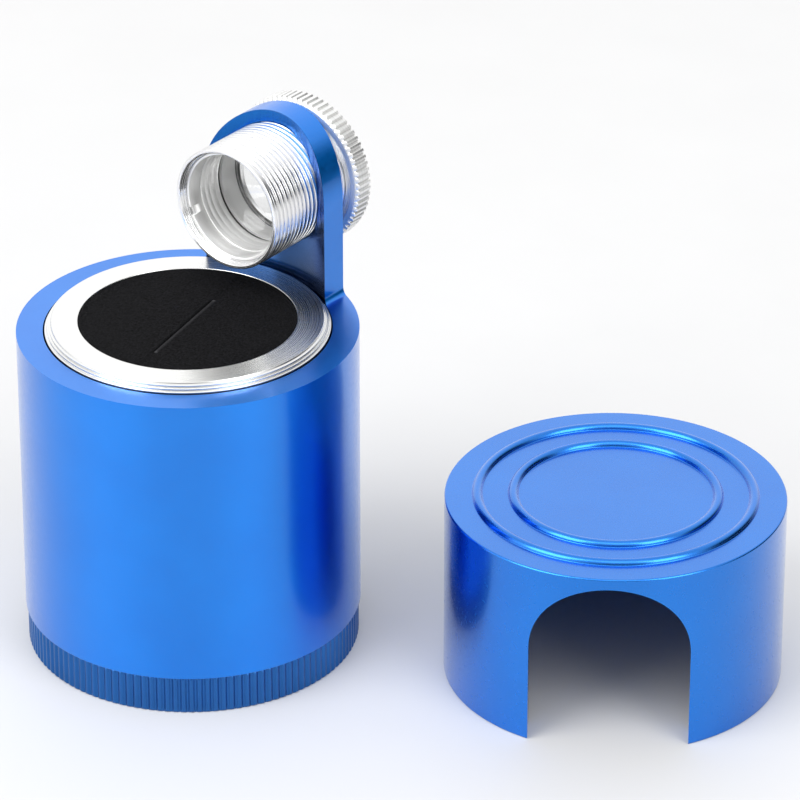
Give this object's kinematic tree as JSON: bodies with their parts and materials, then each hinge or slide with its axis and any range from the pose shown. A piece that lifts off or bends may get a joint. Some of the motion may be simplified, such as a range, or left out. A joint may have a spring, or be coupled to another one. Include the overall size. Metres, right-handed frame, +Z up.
{
  "type": "ring and gemstone viewer",
  "caption": "Round stand loupe for rings and loose stones: knurled base, flocked ring stage, sideways screw-focus lens on an arm, and a loose arched cap.",
  "frame": {"origin": "centre of the base's underside, on the axis of the tube", "axes": "+Z up along the tube; the lens arm stands at +Y and the lens axis runs along Y; the loose cap stands towards +X"},
  "size_m": [0.1057, 0.0798, 0.0777],
  "materials": {
    "blue_anodised": "satin blue anodised",
    "base_anodised": "matte blue anodised, straight knurl",
    "bare_aluminium": "bright turned",
    "ring_brass": "turned",
    "screw_steel": "zinc plated",
    "flocking": "black flocked",
    "pad_foam": "dense black foam",
    "disc_plastic": "plain sheet",
    "lens_glass": "clear polished",
    "foot_rubber": "matte"
  },
  "bodies": {
    "stand": {"base_ring": "base_anodised", "base_screws": "screw_steel", "foot_pad": "foot_rubber", "stage_column": "bare_aluminium", "support_disc": "disc_plastic", "foam_core": "pad_foam", "flocked_cover": "flocking"},
    "height_slide": {"stop_ring": "ring_brass"},
    "shell": {"body_shell": "blue_anodised"},
    "focus_slide": {"front_lens": "lens_glass", "lens_spacer": "bare_aluminium", "rear_lens": "lens_glass"},
    "eyepiece": {"lens_barrel": "bare_aluminium", "focus_knob": "bare_aluminium", "retaining_ring": "bare_aluminium", "spacer_tube": "bare_aluminium"},
    "cap": {"cap_shell": "blue_anodised"}
  },
  "joints": [
    {"name": "height_travel", "type": "slide", "parent": "stand", "child": "height_slide", "axis": [0, 0, 1], "range_m": [0, 0.008]},
    {"name": "height_turn", "type": "hinge", "parent": "height_slide", "child": "shell", "pos_m": [0, 0, 0.03], "axis": [0, 0, 1], "range_deg": [0, 5760]},
    {"name": "focus_travel", "type": "slide", "parent": "shell", "child": "focus_slide", "axis": [0, 1, 0], "range_m": [0, 0.0072]},
    {"name": "focus_turn", "type": "hinge", "parent": "focus_slide", "child": "eyepiece", "pos_m": [0, 0.02, 0.0662], "axis": [0, 1, 0], "range_deg": [0, 2880]},
    {"name": "cap_lift", "type": "slide", "parent": "stand", "child": "cap", "axis": [0, 0, 1], "range_m": [0, 0.06]}
  ],
  "couplings": [
    {"joint": "height_travel", "follows": "height_turn", "m_per_rad": 0.000079577},
    {"joint": "focus_travel", "follows": "focus_turn", "m_per_rad": 0.00014324}
  ]
}
